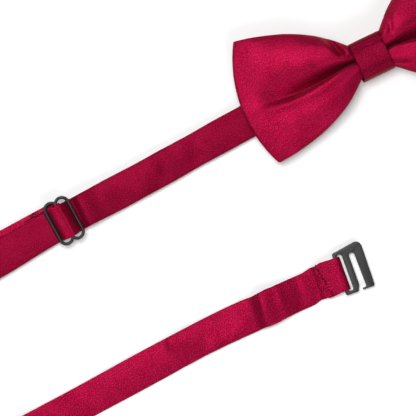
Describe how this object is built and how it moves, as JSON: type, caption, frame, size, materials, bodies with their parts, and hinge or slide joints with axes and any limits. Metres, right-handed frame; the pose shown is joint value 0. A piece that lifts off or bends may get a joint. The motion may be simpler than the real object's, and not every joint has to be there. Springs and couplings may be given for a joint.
{
  "type": "bow tie",
  "caption": "Pre-tied satin bow tie laid flat, with a wrapped knot, a strap neckband, a slider that adjusts it, a flat hook and an eye.",
  "frame": {"origin": "on the table plane, at the flat back of the knot", "axes": "+X along the neckband from the slider towards the eye, +Y towards the bow's upper edge, +Z from the back of the knot to its front"},
  "size_m": [0.3352, 0.1249, 0.015],
  "materials": {
    "bow_satin": "crimson satin",
    "band_satin": "crimson satin",
    "interlining": "stiff woven lining",
    "thread": "sewing thread",
    "black_metal": "matte black coating"
  },
  "bodies": {
    "bow": {"bow_loop": "bow_satin", "left_interlining": "interlining", "right_interlining": "interlining", "waist_thread": "thread", "knot_wrap": "bow_satin", "knot_seam_stitches": "thread", "main_band": "band_satin", "tail_stitches": "thread"},
    "slider": {"slider": "black_metal", "slider_loop": "band_satin", "slider_stitches": "thread", "main_band_arch": "band_satin", "hook_band_upper": "band_satin", "hook_band_cross": "band_satin", "hook_band_lower": "band_satin"},
    "hook_end": {"hook_band_end": "band_satin", "hook_stitches": "thread"},
    "hook": {"hook": "black_metal"},
    "eye_end": {"eye_band": "band_satin", "eye_stitches": "thread"},
    "eye": {"eye": "black_metal"}
  },
  "joints": [
    {"name": "slider_slide", "type": "slide", "parent": "bow", "child": "slider", "axis": [1, 0, 0], "range_m": [-0.033, 0.078]},
    {"name": "hook_band_lift", "type": "hinge", "parent": "slider", "child": "hook_end", "pos_m": [-0.118, -0.0745, 0.0009], "axis": [-0.0802, -0.9968, 0], "range_deg": [0, 80]},
    {"name": "hook_pivot", "type": "hinge", "parent": "hook_end", "child": "hook", "pos_m": [-0.0575, -0.07937, 0.00195], "axis": [-0.1495, -0.9888, 0], "range_deg": [0, 110]},
    {"name": "eye_band_lift", "type": "hinge", "parent": "bow", "child": "eye_end", "pos_m": [0.066, 0, 0.0033], "axis": [0, -1, 0], "range_deg": [0, 80]},
    {"name": "eye_pivot", "type": "hinge", "parent": "eye_end", "child": "eye", "pos_m": [0.086, 0, 0.00245], "axis": [0, -1, 0], "range_deg": [0, 110]}
  ]
}
